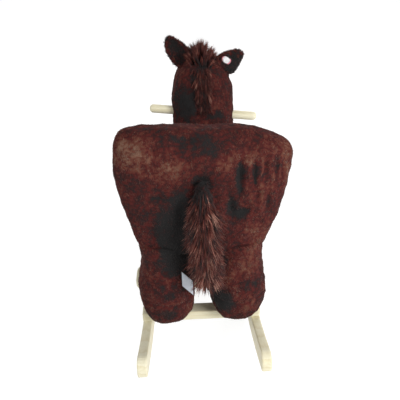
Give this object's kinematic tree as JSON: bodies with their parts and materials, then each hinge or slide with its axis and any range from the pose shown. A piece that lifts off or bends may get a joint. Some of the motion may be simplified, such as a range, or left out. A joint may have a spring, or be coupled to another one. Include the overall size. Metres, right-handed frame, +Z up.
{
  "type": "plush rocking horse",
  "caption": "Chair-type plush rocking horse: wooden rocker base with footrest, high padded back, dowel handle through the neck, hanging tail and a press patch in one ear.",
  "frame": {"origin": "on the floor under the middle of the rocker base, with the rockers' middle facets on the floor", "axes": "+Y the way the horse looks, +X to the rider's right, +Z up"},
  "size_m": [0.311, 0.716, 0.5672],
  "materials": {
    "pale_wood": "smooth sanded softwood under a thin clear coat",
    "plywood": "bare sanded plywood",
    "zinc_steel": "zinc-plated",
    "plush": "short dense reddish chocolate-brown plush",
    "long_pile": "long shaggy reddish chocolate-brown pile",
    "foam": "open-cell foam",
    "eye_plastic": "polished",
    "white_plastic": "moulded",
    "circuit_board": "solder mask",
    "patch_cloth": "white felt patch",
    "patch_rim": "pink satin stitch",
    "satin_ribbon": "blank bluish-white satin ribbon"
  },
  "bodies": {
    "horse": {"back_cover": "plush", "back_foam": "foam", "backrest_board": "plywood", "backrest_screw_left": "zinc_steel", "backrest_screw_middle": "zinc_steel", "backrest_screw_right": "zinc_steel", "bar_screw_front_left": "zinc_steel", "bar_screw_front_right": "zinc_steel", "bar_screw_rear_left": "zinc_steel", "bar_screw_rear_right": "zinc_steel", "belly": "plush", "care_tag": "satin_ribbon", "chest": "plush", "ear_left": "plush", "ear_patch_rim": "patch_rim", "ear_right": "plush", "eye_left": "eye_plastic", "eye_right": "eye_plastic", "footrest": "pale_wood", "footrest_screw_left": "zinc_steel", "footrest_screw_right": "zinc_steel", "front_cross_bar": "pale_wood", "handle_dowel": "pale_wood", "handle_screw": "zinc_steel", "head": "plush", "leg_bolt_front_left": "zinc_steel", "leg_bolt_front_right": "zinc_steel", "leg_bolt_rear_left": "zinc_steel", "leg_bolt_rear_right": "zinc_steel", "leg_front_left": "plush", "leg_front_right": "plush", "leg_post_front_left": "pale_wood", "leg_post_front_right": "pale_wood", "leg_post_rear_left": "pale_wood", "leg_post_rear_right": "pale_wood", "leg_rear_left": "plush", "leg_rear_right": "plush", "mane": "long_pile", "muzzle": "plush", "neck_board": "plywood", "neck_screw_front": "zinc_steel", "neck_screw_rear": "zinc_steel", "rear_cross_bar": "pale_wood", "rocker_left": "pale_wood", "rocker_right": "pale_wood", "seat_board": "plywood", "seat_cover": "plush", "seat_foam": "foam", "seat_screw_front_left": "zinc_steel", "seat_screw_front_right": "zinc_steel", "seat_screw_rear_left": "zinc_steel", "seat_screw_rear_right": "zinc_steel", "sound_board": "circuit_board", "sound_housing": "white_plastic", "wing_left": "plush", "wing_right": "plush"},
    "tail": {"tail": "long_pile"},
    "ear_button": {"ear_button": "patch_cloth"}
  },
  "joints": [
    {"name": "tail_lift", "type": "hinge", "parent": "horse", "child": "tail", "pos_m": [0.011, -0.2403, 0.405], "axis": [-1, 0, 0], "range_deg": [0, 80]},
    {"name": "ear_button_press", "type": "slide", "parent": "horse", "child": "ear_button", "axis": [0.0698, 0.9976, 0], "range_m": [0, 0.002], "stiffness_N_per_m": 400}
  ]
}
